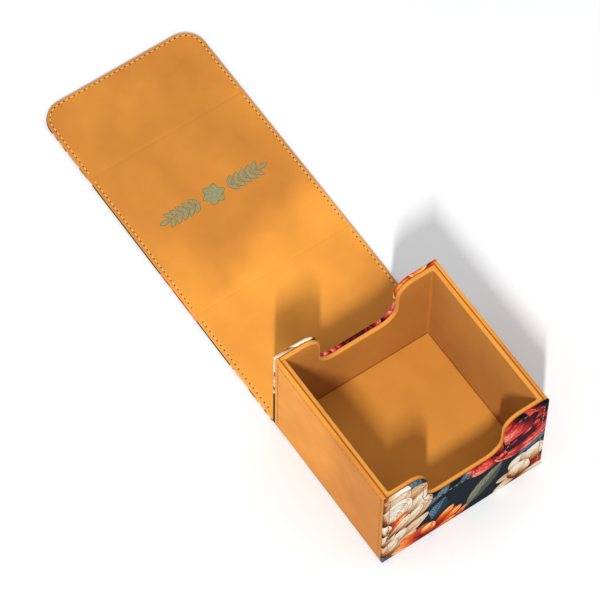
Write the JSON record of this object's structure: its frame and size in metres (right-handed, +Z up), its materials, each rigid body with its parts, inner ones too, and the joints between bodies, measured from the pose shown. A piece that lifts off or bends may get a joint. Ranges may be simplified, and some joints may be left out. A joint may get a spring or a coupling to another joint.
{
  "type": "flip-top deck box",
  "caption": "Leatherette flip-top box with a notched double wall and a hinged folding flap that wraps over the top and closes on the front with magnets.",
  "frame": {"origin": "centre of the box's underside, on the table", "axes": "+X across the box, +Y from the front wall towards the flap lying open, +Z up"},
  "size_m": [0.1052, 0.339, 0.0744],
  "materials": {
    "floral_leatherette": "printed leatherette, fine grain, satin",
    "plain_leatherette": "plain orange leatherette, fine grain, satin",
    "microfibre": "brushed microfibre lining, matte, slightly mottled",
    "greyboard": "bare greyboard",
    "outside_thread": "twisted polyester thread, satin",
    "inside_thread": "twisted polyester thread, satin",
    "magnet_steel": "nickel-plated disc",
    "foil": "sage-coloured foil, hot pressed"
  },
  "bodies": {
    "box": {"front_cover": "floral_leatherette", "back_cover": "floral_leatherette", "bottom_cover": "floral_leatherette", "rear_hinge_cover": "floral_leatherette", "left_cover": "plain_leatherette", "right_cover": "plain_leatherette", "sleeve_lining": "microfibre", "floor_lining": "microfibre", "rear_hinge_lining": "microfibre", "front_board": "greyboard", "back_board": "greyboard", "left_board": "greyboard", "right_board": "greyboard", "bottom_board": "greyboard", "front_sleeve_board": "greyboard", "back_sleeve_board": "greyboard", "left_sleeve_board": "greyboard", "right_sleeve_board": "greyboard", "floor_board": "greyboard", "front_wall_stitching": "outside_thread", "back_wall_stitching": "outside_thread", "left_wall_stitching": "outside_thread", "right_wall_stitching": "outside_thread", "wall_magnets": "magnet_steel"},
    "flap_back": {"flap_back_cover": "floral_leatherette", "flap_back_board": "greyboard", "flap_back_lining": "microfibre", "flap_back_stitching": "inside_thread"},
    "flap_top": {"flap_top_cover": "floral_leatherette", "flap_top_board": "greyboard", "flap_top_lining": "microfibre", "flap_top_stitching": "inside_thread", "lid_emblem": "foil", "top_hinge_cover": "floral_leatherette", "top_hinge_lining": "microfibre"},
    "flap_front": {"flap_front_cover": "floral_leatherette", "flap_front_board": "greyboard", "flap_front_lining": "microfibre", "flap_front_stitching": "inside_thread", "flap_magnets": "magnet_steel", "front_hinge_cover": "floral_leatherette", "front_hinge_lining": "microfibre"}
  },
  "joints": [
    {"name": "rear_hinge", "type": "hinge", "parent": "box", "child": "flap_back", "pos_m": [0, 0.0531, 0.0012], "axis": [1, 0, 0], "range_deg": [0, 90], "deforming": ["rear_hinge_cover", "rear_hinge_lining"]},
    {"name": "top_hinge", "type": "hinge", "parent": "flap_back", "child": "flap_top", "pos_m": [0, 0.1279, 0.0012], "axis": [1, 0, 0], "range_deg": [0, 90], "deforming": ["top_hinge_cover", "top_hinge_lining"]},
    {"name": "front_hinge", "type": "hinge", "parent": "flap_top", "child": "flap_front", "pos_m": [0, 0.2341, 0.0012], "axis": [1, 0, 0], "range_deg": [0, 90], "deforming": ["front_hinge_cover", "front_hinge_lining"]}
  ]
}
